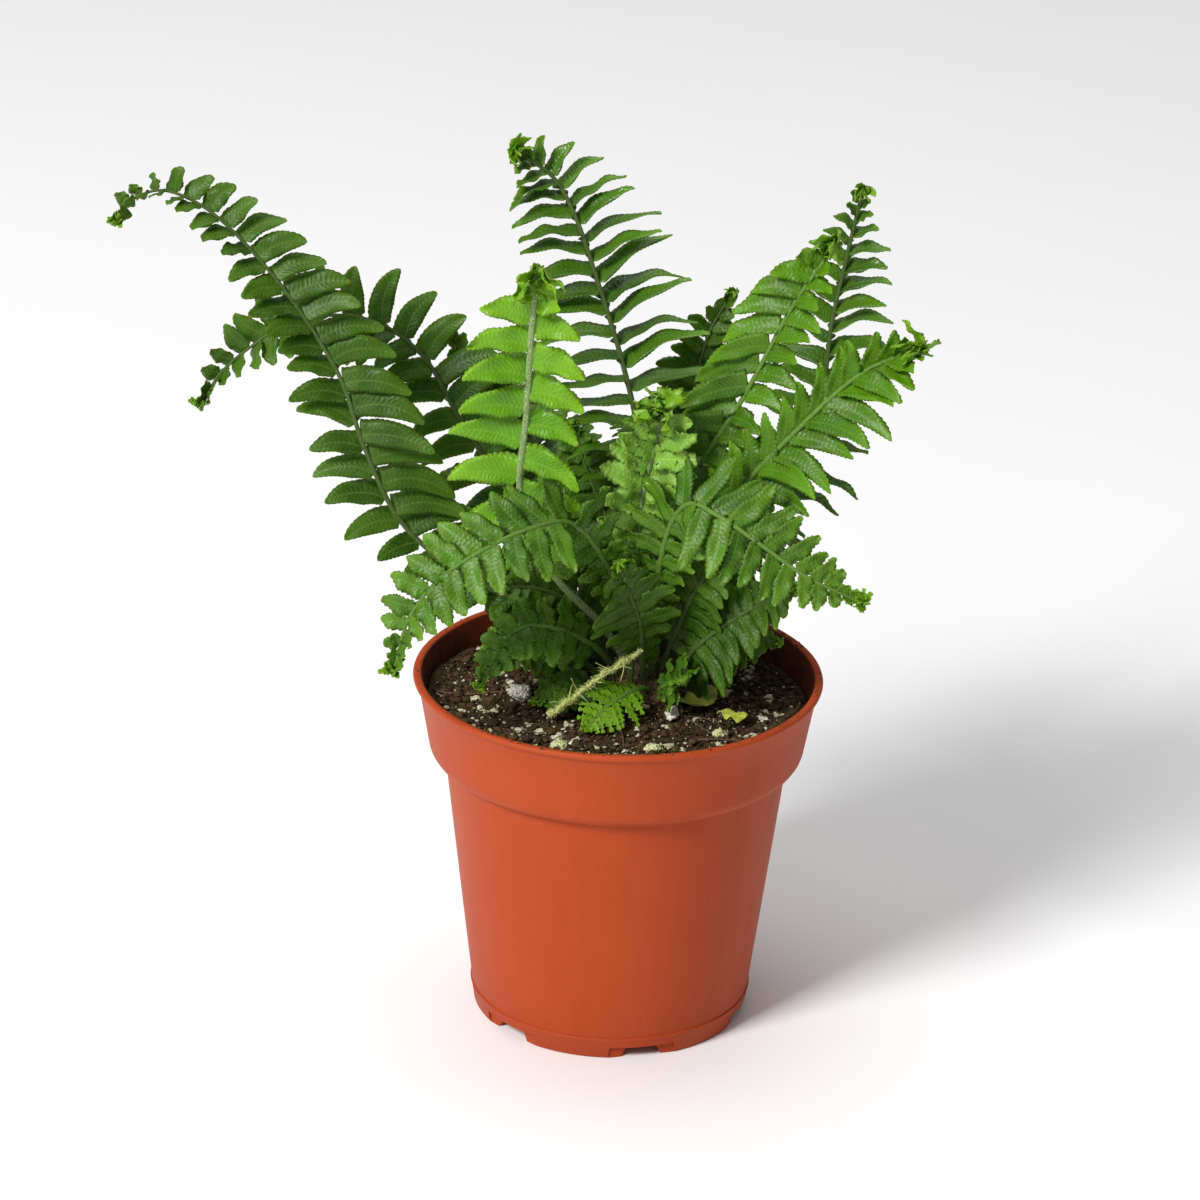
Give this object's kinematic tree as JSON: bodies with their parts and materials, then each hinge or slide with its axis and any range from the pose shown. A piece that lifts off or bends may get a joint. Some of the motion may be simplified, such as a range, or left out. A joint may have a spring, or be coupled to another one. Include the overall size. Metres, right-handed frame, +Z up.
{
  "type": "potted fern",
  "caption": "Potted sword fern with arching green fronds in a round terracotta-coloured plastic nursery pot filled with dark peat soil.",
  "frame": {"origin": "on the pot's axis, at the flat pad under its floor, which is level with the foot ring that the pot stands on", "axes": "+Z up along the pot's axis; -Y towards the side that the picture was taken from; the longest frond arches towards -X"},
  "size_m": [0.2022, 0.1365, 0.2328],
  "materials": {
    "pot_plastic": "satin injection-moulded polypropylene in terracotta orange",
    "soil": null,
    "crown_scales": "matte brown chaffy scales",
    "leaf_dark": null,
    "leaf_mid": "leathery half-grown fern leaf, satin",
    "leaf_bright": "soft young fern leaf, bright green, satin",
    "leaf_young": "very young fern leaf, yellow-green, matte",
    "stolon_dry": null,
    "leaf_dry": "dry yellowed leaflet, matte",
    "pumice": "porous pale pumice, matte",
    "perlite": "porous perlite with a green tint, matte"
  },
  "bodies": {
    "root": {"pot": "pot_plastic", "potting_soil": "soil", "crown": "crown_scales", "frond_far_left_arching": "leaf_dark", "frond_left_drooping": "leaf_dark", "frond_tall_back": "leaf_dark", "frond_right_back_upright": "leaf_dark", "frond_right_low": "leaf_dark", "frond_back_right_short": "leaf_dark", "frond_back_left_short": "leaf_dark", "frond_inner_glossy": "leaf_dark", "frond_inner_left": "leaf_dark", "frond_inner_right": "leaf_dark", "frond_inner_back": "leaf_dark", "frond_back_arching": "leaf_dark", "frond_back_left_arching": "leaf_dark", "frond_back_right_arching": "leaf_dark", "frond_back_left_rising": "leaf_dark", "frond_back_right_rising": "leaf_dark", "frond_front_right_arching": "leaf_mid", "frond_front_left_arching": "leaf_mid", "frond_left_low": "leaf_mid", "frond_front_low": "leaf_mid", "frond_inner_front_left": "leaf_dark", "frond_inner_front_right": "leaf_dark", "frond_inner_low_left": "leaf_mid", "frond_inner_low_right": "leaf_dark", "frond_base_front": "leaf_mid", "frond_back_left_low": "leaf_mid", "frond_back_right_low": "leaf_mid", "frond_front_upright": "leaf_bright", "frond_right_upright": "leaf_bright", "frond_right_spreading": "leaf_bright", "frond_juvenile_front": "leaf_bright", "frond_young_centre": "leaf_young", "stolon": "stolon_dry", "fallen_leaflet_left": "leaf_dry", "fallen_leaflet_right": "leaf_dry", "pumice_chip_large": "pumice", "pumice_chip_small": "pumice", "perlite_chip_left": "perlite", "perlite_chip_right": "perlite", "perlite_chip_front": "perlite", "perlite_chip_back": "perlite"}
  },
  "joints": []
}
